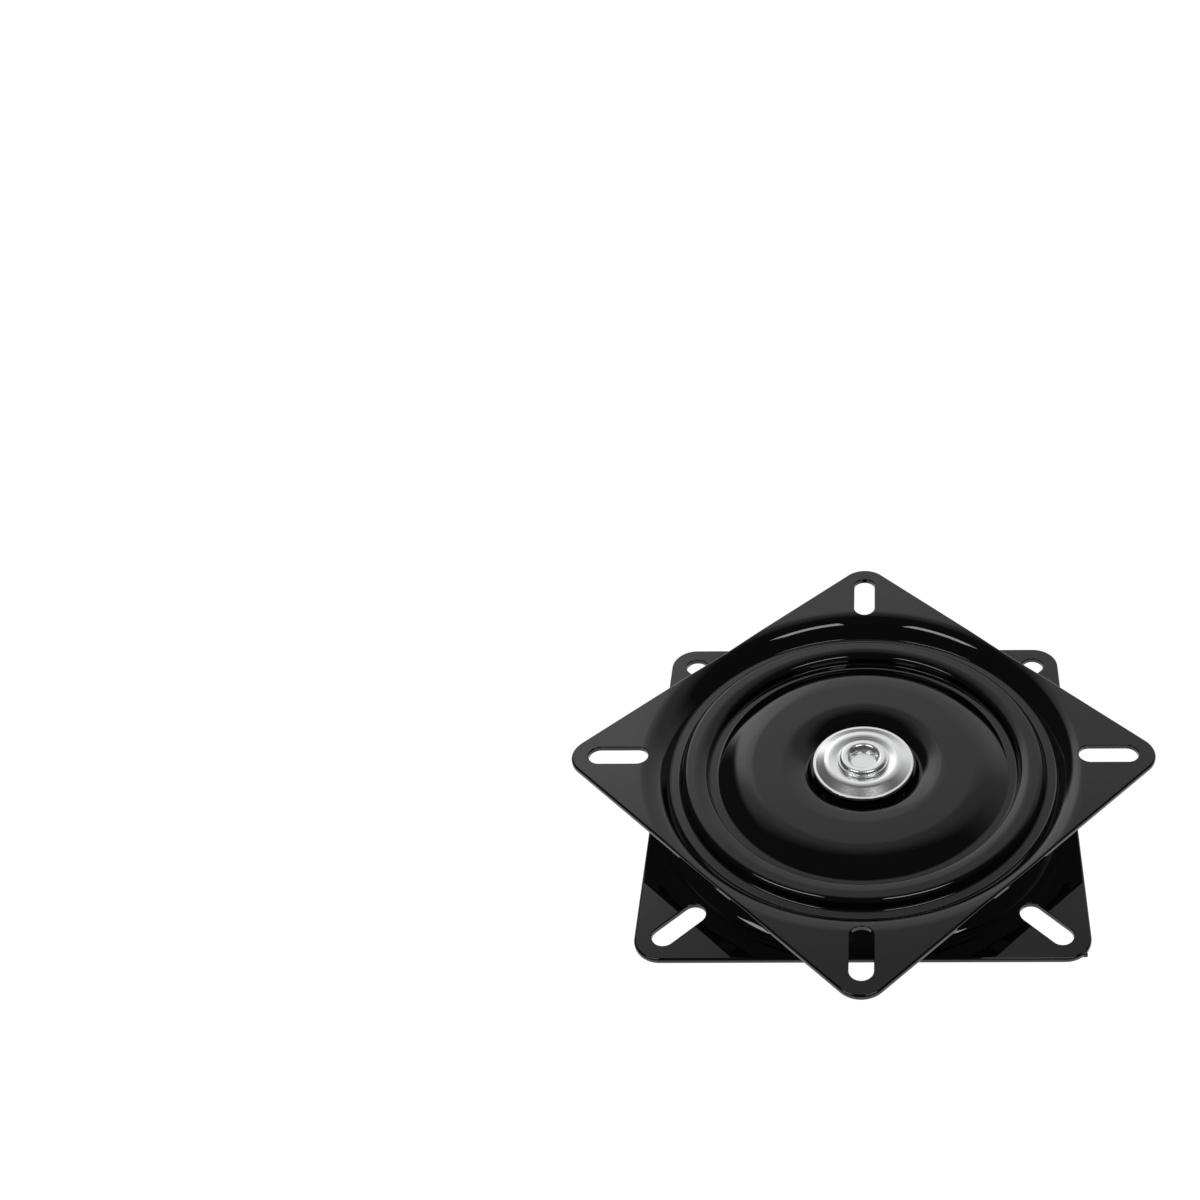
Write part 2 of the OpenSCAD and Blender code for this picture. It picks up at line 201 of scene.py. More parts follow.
class StageSizes(bpy.types.PropertyGroup):
    """Camera, floor and lights."""

    camera_at: FloatVectorProperty(
        name="Camera", description="Place of the camera", size=3, subtype="TRANSLATION",
        unit="LENGTH", default=(0.00815, -0.44717, 0.48276)
    )
    camera_turn: FloatVectorProperty(
        name="Camera turn", description="Turn of the camera about X, Y and Z", size=3,
        subtype="EULER", unit="ROTATION", default=(0.7941, 0.0099, 0.0043)
    )
    lens: FloatProperty(
        name="Lens", description="Focal length in millimetres on a 36 mm frame", default=45.757
    )
    shift: FloatVectorProperty(
        name="Shift", description="Shift of the picture, in frame widths", size=2,
        default=(-0.2226, 0.1011)
    )
    floor_size: length("Floor size", 60000, "Side of the floor")
    floor_glow: share("Floor glow", 1.0, "Light that the white floor gives by itself")
    lamp_depth: length("Lamp depth", 205, "Depth of both overhead lamps")
    lamp_light: share("Lamp light", 6, "Radiance of both overhead lamps")
    window_light: share("Window light", 1.4, "Brightness of the window at the left")
    room_light: share("Room light", 0.07, "Light from all sides")


class SeatBase(bpy.types.PropertyGroup):
    """All settings of the seat base."""

    plate: PointerProperty(type=PlateSizes)
    base: PointerProperty(type=BaseSizes)
    centre: PointerProperty(type=CentreSizes)
    finish: PointerProperty(type=Finishes)
    stage: PointerProperty(type=StageSizes)
    ball_count: IntProperty(
        name="Load balls", description="Number of load balls in the frame", default=24, min=3
    )
    round_steps: IntProperty(
        name="Round steps", description="Steps round a full circle", default=240, min=24
    )


# Lines of (radius, height, bend radius) become smooth sections


def unit(v):
    """A direction in the plane with length 1."""
    size = math.hypot(*v)
    return v[0] / size, v[1] / size


def bend_line(points, closed=False):
    """A smooth line through bent corners, as (radius, height, normal radius, normal height)."""
    line = []
    count = len(points)
    for i, (r, z, bend) in enumerate(points):
        before = points[i - 1] if i or closed else None
        after = points[(i + 1) % count] if i < count - 1 or closed else None
        into = unit((r - before[0], z - before[1])) if before else None
        out = unit((after[0] - r, after[1] - z)) if after else None
        into, out = into or out, out or into
        turn = math.atan2(into[0] * out[1] - into[1] * out[0], into[0] * out[0] + into[1] * out[1])
        if not bend or abs(turn) < STRAIGHT:
            line.append((r, z, into[1], -into[0]))
            if abs(turn) > STRAIGHT:
                line.append((r, z, out[1], -out[0]))
            continue
        side = math.copysign(1, turn)
        back = bend * math.tan(abs(turn) / 2)
        centre_r = r - into[0] * back - into[1] * bend * side
        centre_z = z - into[1] * back + into[0] * bend * side
        steps = max(3, math.ceil(abs(turn) / BEND_STEP))
        for k in range(steps + 1):
            c, s = math.cos(turn * k / steps), math.sin(turn * k / steps)
            heading = into[0] * c - into[1] * s, into[0] * s + into[1] * c
            normal = heading[1], -heading[0]
            line.append(
                (centre_r + normal[0] * bend * side, centre_z + normal[1] * bend * side, *normal)
            )
    return line


def offset_line(line, below):
    """The other face of a sheet: the same line moved to its back, with its normals turned over."""
    return [(r - nr * below, z - nz * below, -nr, -nz) for r, z, nr, nz in line]


def line_at(line, radius):
    """Height and normal of a line at one radius. The line runs inwards."""
    for (r0, z0, nr0, nz0), (r1, z1, nr1, nz1) in zip(line, line[1:]):
        if r0 >= radius >= r1 and r0 > r1:
            t = (r0 - radius) / (r0 - r1)
            n = unit((nr0 + (nr1 - nr0) * t, nz0 + (nz1 - nz0) * t))
            return z0 + (z1 - z0) * t, *n
    raise ValueError(f"the line has no point at radius {radius}")


class Skin:
    """A closed mesh in the making. Corners carry their own normals and are joined by place."""

    def __init__(self, turn=0):
        self.c, self.s = math.cos(turn), math.sin(turn)
        self.points, self.index, self.faces, self.normals = [], {}, [], []

    def point(self, place):
        """Number of the point at a place, which is made if there is none."""
        key = tuple(round(v, 8) for v in place)
        if key not in self.index:
            self.index[key] = len(self.points)
            self.points.append(place)
        return self.index[key]

    def turned(self, v):
        """A place or direction turned about the axis with the piece."""
        return v[0] * self.c - v[1] * self.s, v[0] * self.s + v[1] * self.c, v[2]

    def face(self, corners):
        """One face from (place, normal) corners, turned so that it looks along its normals."""
        kept = []
        for place, normal in corners:
            i = self.point(self.turned(place))
            if all(i != j for j, _ in kept):
                kept.append((i, self.turned(normal)))
        if len(kept) < 3:
            return
        place = [Vector(self.points[i]) for i, _ in kept]
        looks = sum(
            ((b - place[0]).cross(c - place[0]) for b, c in zip(place[1:], place[2:])), Vector()
        )
        mean = sum((Vector(n) for _, n in kept), Vector())
        if looks.dot(mean) < 0:
            kept.reverse()
        self.faces.append([i for i, _ in kept])
        self.normals.extend(n for _, n in kept)

    def strip(self, one, other):
        """Faces between two closed loops of corners."""
        for k in range(len(one)):
            self.face([one[k - 1], one[k], other[k], other[k - 1]])

    def strips(self, loops):
        """Faces between each loop and the next."""
        for one, other in zip(loops, loops[1:]):
            self.strip(one, other)

    def lathe(self, line, steps):
        """A surface of revolution from a line."""
        self.strips([ring(sample, steps) for sample in line])

    def piece(self, name, material):
        """The finished object in the scene."""
        mesh = bpy.data.meshes.new(name)
        mesh.from_pydata(self.points, [], self.faces)
        mesh.polygons.foreach_set("use_smooth", [True] * len(self.faces))
        mesh.normals_split_custom_set(self.normals)
        mesh.materials.append(material)
        piece = bpy.data.objects.new(name, mesh)
        bpy.context.scene.collection.objects.link(piece)
        return piece


def ring(sample, steps):
    """A circle of corners round the axis from one point of a line."""
    r, z, nr, nz = sample
    corners = []
    for k in range(steps):
        c, s = math.cos(ROUND * k / steps), math.sin(ROUND * k / steps)
        corners.append(((r * c, r * s, z), (nr * c, nr * s, nz)))
    return corners


# Lines of the pressed plates, from the frame's heights and the named sizes


def ball_place(settings):
    """Radius and height of the load ball centres, and a ball's radius."""
    low, high = span("main_balls", 2)
    size = (high - low) / 2
    reach = span("main_balls", 0)[1] - size
    return reach / math.cos(math.pi / settings.ball_count), low + size, size


def upper_line(settings):
    """Upper face of the upper plate, run inwards from outside its corners to the hub hole."""
    p = settings.plate
    top = span("upper_plate", 2)[1]
    pan = span("retaining_balls", 2)[0] - settings.centre.ball_play
    ridge = top - p.ridge_drop
    valley, foot = ridge - p.ridge_rise, ridge - p.foot_fall
    bend_r = p.side / 2 - p.bend_margin
    valley_out = bend_r - p.wall_run
    valley_in = valley_out - p.valley_width
    ridge_out = valley_in - p.ridge_wall_run
    lean = ridge_out - p.ridge_width
    ridge_in = lean - p.lean_run
    foot_out = ridge_in - p.flank_run
    foot_in = foot_out - p.foot_width
    dome = foot + p.dome_rise
    pan_r = span("top_washer", 0)[1] + p.pan_gap
    hub_r = span("spacer_sleeve", 0)[1] + p.hub_play
    return bend_line([
        (p.side, top, 0),
        (bend_r, top, p.bend),
        (valley_out, valley, p.valley_bend),
        (valley_in, valley, p.valley_bend),
        (ridge_out, ridge, p.ridge_bend),
        (lean, ridge, p.lean_bend),
        (ridge_in, ridge - p.lean_fall, p.flank_bend),
        (foot_out, foot, p.foot_bend),
        (foot_in, foot, p.dome_foot_bend),
        (foot_in - p.dome_run, dome, p.dome_bend),
        (pan_r + p.pan_run, dome, p.crest_bend),
        (pan_r, pan, p.pan_bend),
        (hub_r, pan, 0),
    ])


def groove_angle(half_width, depth, radius):
    """Slope of a groove's sides that puts the bottom of its round at a depth, found by halving."""
    low, high = math.radians(1), math.radians(45)
    for _ in range(HALVINGS):
        angle = (low + high) / 2
        if half_width * math.tan(angle) - radius * (1 / math.cos(angle) - 1) < depth:
            low = angle
        else:
            high = angle
    return low


def lower_line(settings):
    """Upper face of the lower plate, run inwards from outside its corners to the rivet."""
    p, b, c = settings.plate, settings.base, settings.centre
    ball_r, ball_z, ball = ball_place(settings)
    race = span("main_cage", 2)[0] - b.race_gap
    depth = race - (ball_z - ball - c.ball_play)
    groove = race - b.race_half * math.tan(groove_angle(b.race_half, depth, b.groove))
    top = span("upper_plate", 2)[1]
    foot_r = p.side / 2 - p.bend_margin - p.wall_run - p.valley_width
    foot_r -= p.ridge_wall_run + p.ridge_width + p.lean_run + p.flank_run
    floor = top - p.ridge_drop - p.foot_fall - p.sheet - b.floor_gap
    hub, hub_r = span("spacer_sleeve", 2)[0], span("backing_washer", 0)[1] + b.hub_margin
    return bend_line([
        (p.side, p.sheet, 0),
        (p.side / 2 - b.bend_margin, p.sheet, b.bend),
        (ball_r + b.race_half, race, b.race_bend),
        (ball_r, groove, b.groove),
        (ball_r - b.race_half, race, b.race_bend),
        (foot_r - b.floor_inset, floor, b.floor_bend),
        (hub_r + b.hub_run, floor, b.floor_bend),
        (hub_r, hub, b.hub_bend),
        (shank_radius(settings), hub, 0),
    ])


def shank_radius(settings):
    """Inner radius of everything that sits on the rivet's shank."""
    return head_radius() - settings.centre.head_over + settings.centre.ball_play


def head_radius():
    """Radius of the rolled head: the rivet's largest above its collar."""
    low, high = span("collar_washer", 2)
    above = [v.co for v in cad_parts["rivet"].data.vertices if v.co.z > high - STRAIGHT]
    return max(math.hypot(v.x, v.y) for v in above)


# Outlines of the plates


def turned_loop(loop, c, s):
    """Points and directions of a loop turned about the axis."""
    return [(x * c - y * s, x * s + y * c, u * c - v * s, u * s + v * c) for x, y, u, v in loop]


def outline(settings, inset, tip=False):
    """The rounded square moved in by inset, as (x, y, outward x, outward y)."""
    p = settings.plate
    flat = p.side / 2 - p.corner
    tip_edge = (p.corner + p.tip_reach) / math.sqrt(2) - inset
    loop = []
    for quarter in range(4):
        c, s = round(math.cos(QUARTER * quarter)), round(math.sin(QUARTER * quarter))
        local = [(p.side / 2 - inset, flat * (2 * k / SIDE_STEPS - 1), 1, 0)
                 for k in range(SIDE_STEPS)]
        for k in range(ARC_STEPS):
            cx, cy = math.cos(QUARTER * k / ARC_STEPS), math.sin(QUARTER * k / ARC_STEPS)
            radius, out = p.corner - inset, (cx, cy)
            if tip and quarter == 3 and tip_edge / max(cx, cy) > radius:
                radius = tip_edge / max(cx, cy)
                out = (1, 0) if cx > cy else (0, 1)
            local.append((flat + radius * cx, flat + radius * cy, *out))
        loop += turned_loop(local, c, s)
    return loop


def slot_place(settings):
    """Distance of the slots' centres from the axis."""
    p = settings.plate
    reach = (p.side / 2 - p.corner) * math.sqrt(2) + p.corner
    return reach - p.slot_margin - p.slot_length / 2


def slot_outline(settings, offset, quarter):
    """One slot widened by offset, as (x, y, x and y of the way into the slot)."""
    p = settings.plate
    half = (p.slot_length - p.slot_width) / 2
    radius, middle = p.slot_width / 2 + offset, slot_place(settings)
    c, s = math.cos(QUARTER * (quarter + 0.5)), math.sin(QUARTER * (quarter + 0.5))
    local = []
    for end in (1, -1):
        for k in range(ARC_STEPS + 1):
            a = math.pi * (k / ARC_STEPS - 0.5)
            u, v = end * math.cos(a), end * math.sin(a)
            local.append((middle + end * half + radius * u, radius * v, -u, -v))
    return turned_loop(local, c, s)


def in_metal(settings, x, y, inset, tip=False, margin=0):
    """True where a plate has metal, kept clear of its edges by inset and of its slots by margin."""
    p = settings.plate
    flat = p.side / 2 - p.corner
    over_x, over_y = abs(x) - flat, abs(y) - flat
    edge = p.corner - inset
    if max(over_x, over_y) > edge:
        return False
    if over_x > 0 and over_y > 0 and math.hypot(over_x, over_y) > edge:
        at_tip = tip and x > 0 > y
        if not at_tip or max(over_x, over_y) > (p.corner + p.tip_reach) / math.sqrt(2) - inset:
            return False
    along, across = (abs(x) + abs(y)) / math.sqrt(2), (abs(x) - abs(y)) / math.sqrt(2)
    past = max(abs(along - slot_place(settings)) - (p.slot_length - p.slot_width) / 2, 0)
    return math.hypot(past, across) > p.slot_width / 2 + margin


# Inset of the last full ring in edge rolls, and the flange rings outside it, in millimetres
RIM_INSET = 1.8
FLANGE_RINGS = (1.3, 2.6, 4, 5.5)
RING_CLEARANCE = 0.5


def plate_skin(settings, line, tip=False, turn=0):
    """A whole pressed plate: rings round the axis, a flange with slots, and rolled edges."""
    p = settings.plate
    skin = Skin(turn)
    rim = p.side / 2 - RIM_INSET * p.edge_roll
    steps = settings.round_steps
    faces = [(line, 1, p.edge_roll, p.slot_roll),
             (offset_line(line, p.sheet), -1, p.under_roll, p.under_roll)]
    edges = {None: [], 0: [], 1: [], 2: [], 3: []}
    for face_line, way, roll, slot_roll in faces:
        inner = [(rim, *line_at(face_line, rim))] + [s for s in face_line if s[0] < rim - 0.01 * MM]
        skin.strips([ring(sample, steps) for sample in inner])

        def corner(x, y, out=(0, 0), angle=0, drop=0):
            far = math.hypot(x, y)
            z, nr, nz = line_at(face_line, far)
            c, s = math.cos(angle), math.sin(angle)
            normal = (nr * x / far * c + out[0] * s, nr * y / far * c + out[1] * s, nz * c)
            return (x, y, z - way * drop), normal

        for edge in edges:
            radius = roll if edge is None else slot_roll
            loops = []
            for k in range(EDGE_STEPS + 1):
                a = QUARTER * k / EDGE_STEPS
                moved = radius * (1 - math.sin(a))
                if edge is None:
                    places = outline(settings, moved, tip)
                else:
                    places = slot_outline(settings, moved, edge)
                drop = radius * (1 - math.cos(a))
                loops.append([corner(x, y, (u, v), a, drop) for x, y, u, v in places])
            edges[edge] += loops if way > 0 else loops[::-1]
        fill_flange(settings, skin, corner, rim, roll, slot_roll, tip)
    for loops in edges.values():
        skin.strips(loops)
    (r, z, _, _), hub_low = line[-1], offset_line(line, p.sheet)[-1][1]
    skin.strips([ring((r, z, -1, 0), steps), ring((r, hub_low, -1, 0), steps)])
    return skin


def fill_flange(settings, skin, corner, rim, roll, slot_roll, tip):
    """Triangles of one face between the outermost ring, the outline and the slots."""
    steps = settings.round_steps
    loops = [[(rim * math.cos(ROUND * k / steps), rim * math.sin(ROUND * k / steps))
              for k in range(steps)]]
    loops.append([(x, y) for x, y, _, _ in outline(settings, roll, tip)])
    loops += [[(x, y) for x, y, _, _ in slot_outline(settings, slot_roll, q)] for q in range(4)]
    places, edges = [], []
    for loop in loops:
        first, count = len(places), len(loop)
        places += loop
        edges += [(first + k, first + (k + 1) % count) for k in range(count)]
    clear = RING_CLEARANCE * MM
    for past in FLANGE_RINGS:
        radius = rim + past * MM
        for k in range(0, steps, 2):
            x, y = radius * math.cos(ROUND * k / steps), radius * math.sin(ROUND * k / steps)
            if in_metal(settings, x, y, roll + clear, margin=slot_roll + clear):
                places.append((x, y))
    flat = [Vector(place) for place in places]
    points, _, triangles, sources, _, _ = delaunay_2d_cdt(flat, edges, [], 0, SAME_PLACE)
    exact = [places[s[0]] if s else tuple(v) for v, s in zip(points, sources)]
    for triangle in triangles:
        x = sum(exact[i][0] for i in triangle) / 3
        y = sum(exact[i][1] for i in triangle) / 3
        if math.hypot(x, y) < rim * 0.9999:
            continue
        if in_metal(settings, x, y, roll, tip, slot_roll * ON_CHORD):
            skin.face([corner(*exact[i]) for i in triangle])


# Materials are written as sums on sockets


class Value:
    """A socket or a number in a node tree. Each operator adds one Math node."""

    def __init__(self, graph, socket):
        self.graph, self.socket = graph, socket

    def math(self, operation, first, second=None):
        inputs = {0: first} if second is None else {0: first, 1: second}
        return self.graph.node("ShaderNodeMath", inputs, operation=operation)

    def __add__(self, other):
        return self.math("ADD", self, other)

    def __radd__(self, other):
        return self.math("ADD", other, self)

    def __mul__(self, other):
        return self.math("MULTIPLY", self, other)

    def __rmul__(self, other):
        return self.math("MULTIPLY", other, self)

    def root(self):
        return self.math("SQRT", self)


class Graph:
    """A node tree that is built from calls."""

    def __init__(self, owner):
        owner.use_nodes = True
        self.tree = owner.node_tree
        self.tree.nodes.clear()

    def node(self, kind, inputs=(), output=0, stops=(), **settings):
        """Adds a node: its settings first, then the stops of a ramp, then its sockets."""
        node = self.tree.nodes.new(kind)
        for name, value in settings.items():
            setattr(node, name, value)
        if stops:
            ramp = node.color_ramp.elements
            while len(ramp) < len(stops):
                ramp.new(0.5)
            for element, (at, level) in zip(ramp, stops):
                element.position = at
                element.color = (level, level, level, 1)
        for name, value in dict(inputs).items():
            if isinstance(value, Value):
                self.tree.links.new(value.socket, node.inputs[name])
            else:
                node.inputs[name].default_value = value
        return Value(self, node.outputs[output]) if len(node.outputs) else node

    def parts(self, vector):
        """X, Y and Z of a vector."""
        split = self.node("ShaderNodeSeparateXYZ", {0: vector}).socket.node
        return [Value(self, socket) for socket in split.outputs]

    def place(self):
        """Coordinates of the object, in metres."""
        return self.node("ShaderNodeTexCoord", output="Object")

    def ramp(self, value, stops):
        """A level between 0 and 1 over values between -1 and 1."""
        spread = [((at + 1) / 2, level) for at, level in stops]
        return self.node("ShaderNodeValToRGB", {"Fac": value * 0.5 + 0.5}, stops=spread)

    def noise(self, where, scale):
        return self.node("ShaderNodeTexNoise", {"Vector": where, "Scale": scale, "Detail": 2.0})

    def surface(self, inputs):
        """The shader of a material and its output."""
        shader = self.node("ShaderNodeBsdfPrincipled", inputs)
        self.node("ShaderNodeOutputMaterial", {"Surface": shader})


def material(name):
    """The material of that name, made again from the finishes."""
    made = bpy.data.materials.get(name) or bpy.data.materials.new(name)
    MAKERS[name](Graph(made), bpy.context.scene.seat_base.finish)
    return made


# Waves to the metre and their share, for the fine and the broad waves of the paint
FINE_WAVES, BROAD_WAVES = (900, 0.35), (260, 0.65)
WAVE_HEIGHT = 0.2 * MM

# Turned lines to the metre, their slant with height, their height and the strength of their bump
LINES, LINE_SLANT, LINE_HEIGHT, LINE_BUMP = 9000, 0.7, 0.05 * MM, 0.12


def black_paint(graph, finish):
    """Gloss black powder coat with fine waves."""
    where = graph.place()
    fine, broad = (graph.noise(where, scale) * part for scale, part in (FINE_WAVES, BROAD_WAVES))
    bump = graph.node("ShaderNodeBump", {
        "Strength": finish.peel, "Distance": WAVE_HEIGHT, "Height": fine + broad,
    })
    graph.surface({
        "Base Color": (*finish.paint, 1), "Roughness": finish.paint_rough, "IOR": 1.5,
        "Normal": bump,
    })


def turned_lines(graph):
    """Fine lines round the axis, as a turned or spun face has them."""
    x, y, z = graph.parts(graph.place())
    along = ((x * x + y * y).root() + z * LINE_SLANT) * LINES
    return graph.node(
        "ShaderNodeTexNoise", {"W": along, "Scale": 1.0, "Detail": 3.0}, noise_dimensions="1D"
    )


def zinc_plate(graph, finish):
    """Bright zinc plating over turned steel."""
    lines = turned_lines(graph)
    bump = graph.node(
        "ShaderNodeBump", {"Strength": LINE_BUMP, "Distance": LINE_HEIGHT, "Height": lines}
    )
    smoothest = finish.zinc_rough - finish.line_rough / 2
    graph.surface({
        "Base Color": (*finish.zinc, 1), "Metallic": 1.0,
        "Roughness": lines * finish.line_rough + smoothest, "Normal": bump,
    })


def ball_steel(graph, finish):
    """Polished steel."""
    graph.surface({
        "Base Color": (*finish.ball, 1), "Metallic": 1.0, "Roughness": finish.ball_rough,
    })


def plain_steel(graph, finish):
    """Turned steel without plating."""
    graph.surface({
        "Base Color": (*finish.steel, 1), "Metallic": 1.0, "Roughness": finish.steel_rough,
    })


def cage_plastic(graph, finish):
    """Undyed moulded nylon."""
    graph.surface({"Base Color": (*finish.nylon, 1), "Roughness": finish.nylon_rough})


MAKERS = {maker.__name__: maker for maker in
          (black_paint, zinc_plate, ball_steel, plain_steel, cage_plastic)}


def dress(node, slot):
    """Gives a CAD node its material."""
    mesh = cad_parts[node].data
    mesh.materials.clear()
    mesh.materials.append(material(slot))


def stand_for(skin, name, slot, body, *nodes):
    """Puts a finished piece in the place of CAD nodes."""
    piece = skin.piece(name, material(slot))
    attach(piece, body)
    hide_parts(*nodes)


# One operator for each piece or group of pieces


class SEATBASE_OT_upper_plate(bpy.types.Operator):
    """Make the upper pressed plate that carries the seat"""

    bl_idname = "seatbase.upper_plate"
    bl_label = "Upper Plate"

    def execute(self, context):
        settings = context.scene.seat_base
        skin = plate_skin(settings, upper_line(settings), turn=QUARTER / 2)
        stand_for(skin, "pressed_upper_plate", "black_paint", "turntable", "upper_plate")
        return {"FINISHED"}


class SEATBASE_OT_lower_plate(bpy.types.Operator):
    """Make the lower pressed plate that bolts to the pedestal"""

    bl_idname = "seatbase.lower_plate"
    bl_label = "Lower Plate"

    def execute(self, context):
        settings = context.scene.seat_base
        skin = plate_skin(settings, lower_line(settings), tip=True)
        stand_for(skin, "pressed_lower_plate", "black_paint", "base", "lower_plate")
        return {"FINISHED"}


class SEATBASE_OT_washers(bpy.types.Operator):
    """Make the dished top washer, the collar on it and the backing washer below"""

    bl_idname = "seatbase.washers"
    bl_label = "Washers"

    def execute(self, context):
        settings = context.scene.seat_base
        c, steps = settings.centre, settings.round_steps
        shank = shank_radius(settings)
        seat, collar_top = span("collar_washer", 2)
        collar_r = span("collar_washer", 0)[1]
        rim, crown = span("top_washer", 0)[1], seat + c.crown_rise
        lip = crown - c.lip_drop
        top = bend_line([
            (rim, lip, 0),
            (rim - c.lip_width, lip, c.lip_bend),
            (span("spacer_sleeve", 0)[1] + c.crown_out, crown, c.crown_bend),
            (collar_r + c.seat_gap, seat, c.seat_bend),
            (shank, seat, 0),
        ])
        dish = Skin()
        dish.lathe(rolled_sheet(top, c.washer_sheet, c.rim_roll), steps)
        stand_for(dish, "dished_washer", "zinc_plate", "base", "top_washer")

        collar = Skin()
        collar.lathe(disc(shank, collar_r, seat, collar_top, c.rim_roll), steps)
        stand_for(collar, "rivet_collar", "zinc_plate", "base", "collar_washer")

        backing = Skin()
        low, high = span("backing_washer", 2)
        outer = span("backing_washer", 0)[1]
        backing.lathe(disc(shank, outer, low, high, c.rim_roll), steps)
        stand_for(backing, "backing_disc", "zinc_plate", "base", "backing_washer")
        return {"FINISHED"}


def disc(inner, outer, low, high, roll):
    """Closed section of a flat washer."""
    corners = [(outer, low, roll), (outer, high, roll), (inner, high, 0), (inner, low, 0)]
    line = bend_line(corners, closed=True)
    return line + line[:1]


def rolled_sheet(top, thick, roll):
    """Closed section of a sheet whose outer edge is rolled on both sides."""
    under = offset_line(top, thick)
    rim, lip = top[0][0], top[0][1]
    edge = bend_line([
        (rim - 2 * roll, lip - thick, 0), (rim, lip - thick, roll), (rim, lip, roll),
        (rim - 2 * roll, lip, 0),
    ])[1:-1]
    hole = [(top[-1][0], z, -1, 0) for z in (top[-1][1], under[-1][1])]
    return edge + top[1:] + hole + under[:0:-1] + edge[:1]


class SEATBASE_OT_rivet(bpy.types.Operator):
    """Make the centre rivet with its rolled head and recess"""

    bl_idname = "seatbase.rivet"
    bl_label = "Rivet"

    def execute(self, context):
        settings = context.scene.seat_base
        c = settings.centre
        foot, top = span("rivet", 2)
        lower_r, head_r = span("rivet", 0)[1], head_radius() + c.head_spread
        shank, collar_top = head_radius() - c.head_over, span("collar_washer", 2)[1]
        floor = top - c.recess_depth
        section = bend_line([
            (0, foot, 0),
            (lower_r, foot, c.lower_roll),
            (lower_r, foot + c.lower_head, c.rim_roll),
            (shank, foot + c.lower_head, 0),
            (shank, collar_top, 0),
            (head_r, collar_top, 0),
            (head_r, top, c.head_roll),
            (c.recess + c.mouth_run, top, c.mouth_roll),
            (c.recess, floor + c.recess_wall, c.recess_wall),
            (c.recess, floor, c.rim_roll),
            (0, floor, 0),
        ])
        skin = Skin()
        skin.lathe(section, settings.round_steps)
        stand_for(skin, "centre_rivet", "zinc_plate", "base", "rivet")
        return {"FINISHED"}


def cage_skin(settings):
    """A flat ring with one round pocket for each load ball."""
    base, steps = settings.base, settings.round_steps
    ball_r, _, ball = ball_place(settings)
    low, high = span("main_cage", 2)
    inner, pocket = ball_r - ball - base.cage_rim, ball + base.pocket_play
    middles = []
    for k in range(settings.ball_count):
        angle = ROUND * (k + 0.5) / settings.ball_count
        middles.append((ball_r * math.cos(angle), ball_r * math.sin(angle)))
    circles = [(0, 0, span("main_cage", 0)[1], steps), (0, 0, inner, steps)]
    circles += [(x, y, pocket, steps // 6) for x, y in middles]
    skin = Skin()
    places, edges = [], []
    for mid_x, mid_y, radius, count in circles:
        way, first = (-1 if places else 1), len(places)
        outward = [(math.cos(ROUND * k / count), math.sin(ROUND * k / count)) for k in range(count)]
        places += [(mid_x + radius * u, mid_y + radius * v) for u, v in outward]
        edges += [(first + k, first + (k + 1) % count) for k in range(count)]
        skin.strip(*([((*places[first + k], z), (way * u, way * v, 0))
                      for k, (u, v) in enumerate(outward)] for z in (low, high)))
    flat = [Vector(place) for place in places]
    points, _, triangles, _, _, _ = delaunay_2d_cdt(flat, edges, [], 0, SAME_PLACE)
    for triangle in triangles:
        x, y = (sum(points[i][k] for i in triangle) / 3 for k in (0, 1))
        nearest = min(math.hypot(x - u, y - v) for u, v in middles)
        if math.hypot(x, y) > inner and nearest > ON_CHORD * pocket:
            for z, up in ((low, -1), (high, 1)):
                skin.face([((*points[i], z), (0, 0, up)) for i in triangle])
    return skin


class SEATBASE_OT_bearing(bpy.types.Operator):
    """Dress the balls, their cages and the sleeve"""

    bl_idname = "seatbase.bearing"
    bl_label = "Balls and Cages"

    def execute(self, context):
        for node in ("main_balls", "retaining_balls"):
            dress(node, "ball_steel")
        dress("retaining_cage", "cage_plastic")
        cage = cage_skin(context.scene.seat_base)
        stand_for(cage, "load_ball_cage", "cage_plastic", "load_ring", "main_cage")
        dress("spacer_sleeve", "plain_steel")
        return {"FINISHED"}


class SEATBASE_OT_stage(bpy.types.Operator):
    """Make the white floor, the soft light and the camera"""

    bl_idname = "seatbase.stage"
    bl_label = "Stage"

    def execute(self, context):
        scene, stage = context.scene, context.scene.seat_base.stage
        make_floor(stage)
        make_sky(scene, stage)
        for name, place, width in LAMPS:
            make_lamp(stage, name, Vector(place) * MM, width * MM)
        make_camera(scene, stage)
        scene.view_settings.view_transform = "Standard"
        return {"FINISHED"}


def make_floor(stage):
    """A plain white floor that the part stands on."""
    half = stage.floor_size / 2
    mesh = bpy.data.meshes.new("floor")
    mesh.from_pydata([(-half, -half, 0), (half, -half, 0), (half, half, 0), (-half, half, 0)],
                     [], [(0, 1, 2, 3)])
    white = bpy.data.materials.new("white_floor")
    Graph(white).surface({
        "Base Color": (0.1, 0.1, 0.1, 1), "Roughness": 1.0, "Specular IOR Level": 0.0,
        "Emission Color": (1, 1, 1, 1), "Emission Strength": stage.floor_glow,
    })
    mesh.materials.append(white)
    floor = bpy.data.objects.new("floor", mesh)
    bpy.context.scene.collection.objects.link(floor)


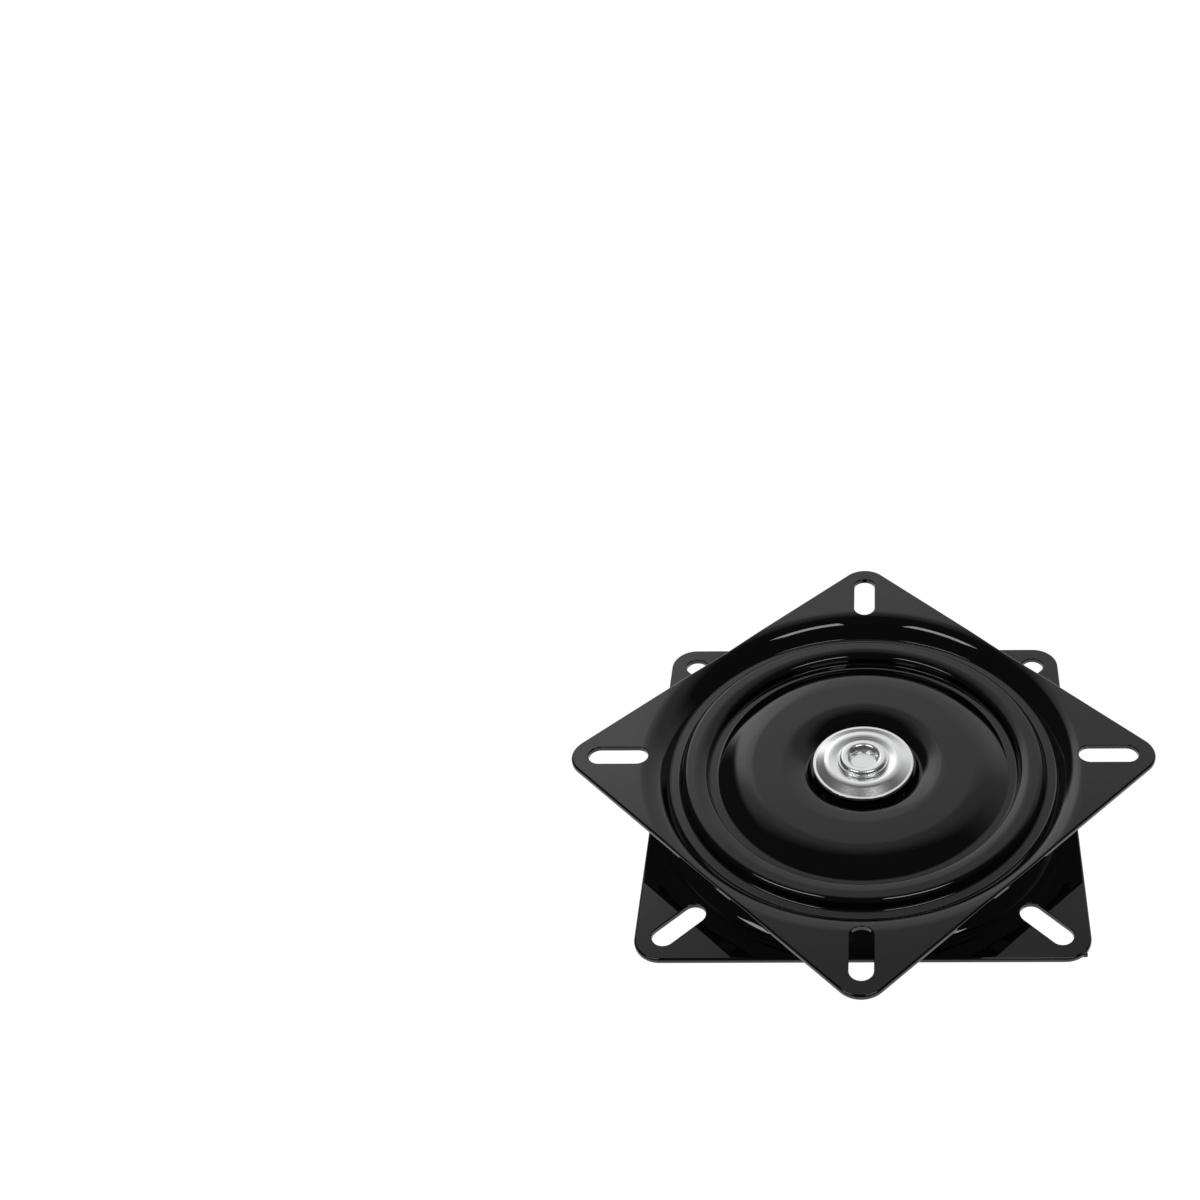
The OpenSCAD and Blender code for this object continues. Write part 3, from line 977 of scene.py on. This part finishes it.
def make_sky(scene, stage):
    """Soft light from behind the part and a brighter window at the left, in a white room."""
    world = bpy.data.worlds.new("studio")
    scene.world = world
    graph = Graph(world)
    way = graph.node("ShaderNodeTexCoord", output="Generated")
    x, y, _ = graph.parts(way)
    wall = graph.ramp(y, WALL_BACK) * graph.ramp(x, WALL_SIDE)
    window = graph.ramp(y, WINDOW_BACK) * graph.ramp(x, WINDOW_SIDE)
    light = wall + window * stage.window_light + stage.room_light
    sky = graph.node("ShaderNodeBackground", {"Strength": light})
    plain = graph.node("ShaderNodeBackground", {"Color": (1, 1, 1, 1), "Strength": 1.0})
    seen = graph.node("ShaderNodeLightPath", output="Is Camera Ray")
    mixed = graph.node("ShaderNodeMixShader", {0: seen, 1: sky, 2: plain})
    graph.node("ShaderNodeOutputWorld", {"Surface": mixed})


# Light of the sky against how far a direction looks back (y) or to the side (x)
WALL_BACK = ((0.18, 0.0), (0.3, 0.17), (0.4, 0.35), (0.5, 0.45), (0.59, 0.42), (0.66, 0.5),
             (0.8, 0.7), (0.9, 0.7), (1.0, 0.58))
WALL_SIDE = ((-0.58, 0.0), (-0.48, 1.0))
WINDOW_BACK = ((0.4, 0.0), (0.56, 0.2), (0.62, 0.5), (0.68, 1.0), (0.78, 1.0), (0.88, 0.6),
               (1.0, 0.3))
WINDOW_SIDE = ((-0.54, 0.0), (-0.47, 0.9), (-0.34, 1.0), (-0.25, 0.85), (-0.16, 0.75),
               (-0.1, 0.36), (0.05, 0.26), (0.3, 0.2))


# Name, place and width of each lamp in millimetres
LAMPS = (("left_lamp", (-520, -335, 900), 564), ("right_lamp", (318, -335, 900), 423))


def make_lamp(stage, name, place, width):
    """A level lamp overhead."""
    lamp = bpy.data.lights.new(name, "AREA")
    lamp.shape, lamp.size, lamp.size_y = "RECTANGLE", width, stage.lamp_depth
    lamp.energy = stage.lamp_light * math.pi * width * stage.lamp_depth
    piece = bpy.data.objects.new(name, lamp)
    piece.location = place
    bpy.context.scene.collection.objects.link(piece)


# Width of the camera's frame in millimetres, and its nearest and farthest sight in metres
FRAME_WIDTH, NEAREST, FARTHEST = 36, 0.01, 200


def make_camera(scene, stage):
    """The camera that sees the part as the photo does."""
    camera = bpy.data.cameras.new("camera")
    camera.lens, camera.sensor_width = stage.lens, FRAME_WIDTH
    camera.shift_x, camera.shift_y = stage.shift
    camera.clip_start, camera.clip_end = NEAREST, FARTHEST
    piece = bpy.data.objects.new("camera", camera)
    piece.location, piece.rotation_euler = stage.camera_at, stage.camera_turn
    scene.collection.objects.link(piece)
    scene.camera = piece


class SEATBASE_PT_panel(bpy.types.Panel):
    """Buttons and sizes of the seat base"""

    bl_idname = "SEATBASE_PT_panel"
    bl_label = "Swivel Seat Base"
    bl_space_type = "VIEW_3D"
    bl_region_type = "UI"
    bl_category = "Seat Base"

    def draw(self, context):
        for operator in OPERATORS:
            self.layout.operator(operator.bl_idname)
        settings = context.scene.seat_base
        for group in (settings.plate, settings.base, settings.centre, settings.finish, settings.stage):
            box = self.layout.box()
            for name in group.__annotations__:
                box.prop(group, name)


OPERATORS = (
    SEATBASE_OT_upper_plate, SEATBASE_OT_lower_plate, SEATBASE_OT_washers, SEATBASE_OT_rivet,
    SEATBASE_OT_bearing, SEATBASE_OT_stage,
)
CLASSES = (PlateSizes, BaseSizes, CentreSizes, Finishes, StageSizes, SeatBase,
           *OPERATORS, SEATBASE_PT_panel)


def register():
    for kind in CLASSES:
        bpy.utils.register_class(kind)
    bpy.types.Scene.seat_base = PointerProperty(type=SeatBase)


def unregister():
    del bpy.types.Scene.seat_base
    for kind in reversed(CLASSES):
        bpy.utils.unregister_class(kind)


def main():
    register()
    for operator in OPERATORS:
        group, name = operator.bl_idname.split(".")
        getattr(getattr(bpy.ops, group), name)()


if __name__ == "__main__":
    main()
